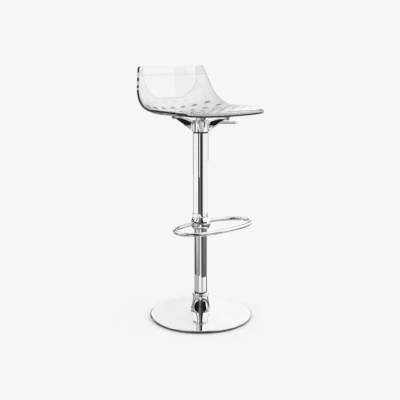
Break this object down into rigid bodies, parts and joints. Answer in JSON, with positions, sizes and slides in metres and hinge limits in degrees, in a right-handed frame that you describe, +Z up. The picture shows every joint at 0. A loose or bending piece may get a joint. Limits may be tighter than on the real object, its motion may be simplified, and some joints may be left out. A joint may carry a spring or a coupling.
{
  "type": "bar stool",
  "caption": "Height-adjustable swivel bar stool: clear moulded bucket seat on a gas-lift chrome column with an oval footrest, a release lever and a round domed base.",
  "frame": {"origin": "on the floor under the column's axis, which is also the middle of the footprint", "axes": "+Z up along the column, the seat's open front towards -Y, the release lever towards +X"},
  "size_m": [0.4122, 0.415, 0.9738],
  "materials": {
    "chrome": "polished chrome plate",
    "clear_plastic": "clear moulded polycarbonate, polished",
    "zinc_steel": "zinc plated steel",
    "black_steel": "black enamel",
    "ballast_iron": "as cast",
    "black_plastic": "moulded nylon",
    "black_rubber": "matt rubber"
  },
  "bodies": {
    "base": {"base_plate": "chrome", "base_ballast": "ballast_iron", "floor_ring": "black_rubber", "base_socket": "zinc_steel", "column_tube": "chrome", "base_bell": "chrome", "bell_ring": "chrome", "column_end_plate": "zinc_steel", "guide_bush": "black_plastic", "bearing_lower_washer": "zinc_steel"},
    "gas_rod": {"piston_rod": "chrome", "piston": "zinc_steel", "rod_clip": "zinc_steel", "bump_stop": "black_rubber", "bearing_ball_cage": "black_plastic", "bearing_upper_washer": "zinc_steel"},
    "seat": {"gas_cylinder": "black_steel", "sleeve_tube": "chrome", "sleeve_glide": "black_plastic", "seam_ring": "black_plastic", "footrest_collar": "chrome", "footrest_ring": "chrome", "collar_set_screw": "zinc_steel", "seat_bracket": "chrome", "seat_washer_1": "black_rubber", "seat_washer_2": "black_rubber", "seat_washer_3": "black_rubber", "seat_washer_4": "black_rubber", "seat_screw_1": "zinc_steel", "seat_screw_2": "zinc_steel", "seat_screw_3": "zinc_steel", "seat_screw_4": "zinc_steel", "seat_shell": "clear_plastic", "lever_pin": "zinc_steel"},
    "lever": {"lever_rod": "chrome", "lever_tip": "clear_plastic"},
    "valve": {"valve_button": "zinc_steel"}
  },
  "joints": [
    {"name": "seat_swivel", "type": "hinge", "parent": "base", "child": "gas_rod", "pos_m": [0, 0, 0.04], "axis": [0, 0, 1], "continuous": true},
    {"name": "seat_lift", "type": "slide", "parent": "gas_rod", "child": "seat", "axis": [0, 0, 1], "range_m": [-0.25, 0]},
    {"name": "lever_lift", "type": "hinge", "parent": "seat", "child": "lever", "pos_m": [0.02, 0, 0.7647], "axis": [0, -1, 0], "range_deg": [0, 8], "stiffness_Nm_per_rad": 0.6},
    {"name": "valve_press", "type": "slide", "parent": "seat", "child": "valve", "axis": [0, 0, -1], "range_m": [0, 0.003]}
  ],
  "couplings": [
    {"joint": "valve_press", "follows": "lever_lift", "m_per_rad": 0.02}
  ]
}
